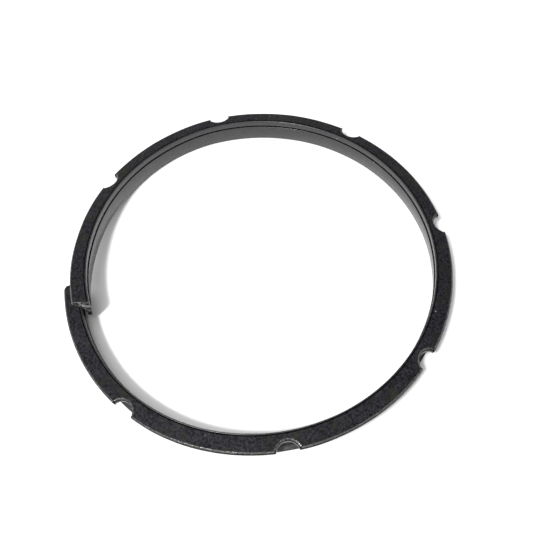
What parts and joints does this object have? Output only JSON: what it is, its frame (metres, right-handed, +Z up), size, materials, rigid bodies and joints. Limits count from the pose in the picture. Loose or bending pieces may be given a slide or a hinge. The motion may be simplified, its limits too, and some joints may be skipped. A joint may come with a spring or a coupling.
{
  "type": "pressure cooker sealing ring",
  "caption": "Moulded rubber gasket for a stovetop pressure cooker, with a notched upper lip, parted at its joint and lying with one end lapped over the other.",
  "frame": {"origin": "middle of the ring's outline, on the table it lies on", "axes": "+Z up along the ring's axis, +X towards the right, opposite the lapped ends"},
  "size_m": [0.2316, 0.2344, 0.0251],
  "materials": {
    "rubber": "matte"
  },
  "bodies": {
    "root": {"sealing_ring": "rubber"}
  },
  "joints": []
}
